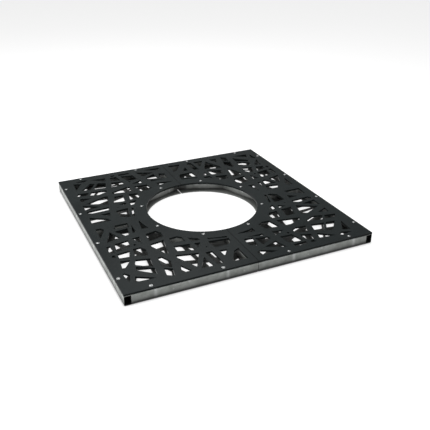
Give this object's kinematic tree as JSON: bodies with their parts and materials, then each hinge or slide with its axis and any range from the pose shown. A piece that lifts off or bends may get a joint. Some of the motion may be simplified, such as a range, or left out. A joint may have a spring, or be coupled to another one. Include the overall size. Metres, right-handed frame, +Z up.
{
  "type": "tree grate",
  "caption": "Square tree grate in two halves, with a cut plate pattern, a round trunk opening and a welded tube frame.",
  "frame": {"origin": "middle of the grate in plan, at the paving it rests on", "axes": "+Z up, +X from the left half to the right half, across the seam; the front edge faces -Y"},
  "size_m": [1.1, 1.1, 0.053],
  "materials": {
    "coated_plate": "anthracite powder coat, satin, fine texture",
    "coated_sheet": "dark powder coat, dusty",
    "galvanised_tube": "hot-dip galvanised, matt, with pale blotches",
    "stainless_screws": "stainless, polished domed heads",
    "zinc_fixings": "zinc plated"
  },
  "bodies": {
    "left_half": {"top_plate_left": "coated_plate", "lower_sheet_left": "coated_sheet", "side_tube_left": "galvanised_tube", "front_tube_left": "galvanised_tube", "rear_tube_left": "galvanised_tube", "seam_tube_front_left": "galvanised_tube", "seam_tube_rear_left": "galvanised_tube", "mid_tube_left": "galvanised_tube", "ring_tube_left_1": "galvanised_tube", "ring_tube_left_2": "galvanised_tube", "ring_tube_left_3": "galvanised_tube", "ring_tube_left_4": "galvanised_tube", "edge_screws_left": "stainless_screws", "ring_screws_left": "stainless_screws", "edge_nuts_left": "zinc_fixings", "ring_nuts_left": "zinc_fixings", "sheet_rivets_left": "zinc_fixings"},
    "right_half": {"top_plate_right": "coated_plate", "lower_sheet_right": "coated_sheet", "side_tube_right": "galvanised_tube", "front_tube_right": "galvanised_tube", "rear_tube_right": "galvanised_tube", "seam_tube_front_right": "galvanised_tube", "seam_tube_rear_right": "galvanised_tube", "mid_tube_right": "galvanised_tube", "ring_tube_right_1": "galvanised_tube", "ring_tube_right_2": "galvanised_tube", "ring_tube_right_3": "galvanised_tube", "ring_tube_right_4": "galvanised_tube", "edge_screws_right": "stainless_screws", "ring_screws_right": "stainless_screws", "edge_nuts_right": "zinc_fixings", "ring_nuts_right": "zinc_fixings", "sheet_rivets_right": "zinc_fixings"}
  },
  "joints": [
    {"name": "halves_part", "type": "slide", "parent": "left_half", "child": "right_half", "axis": [1, 0, 0], "range_m": [0, 0.4]}
  ]
}
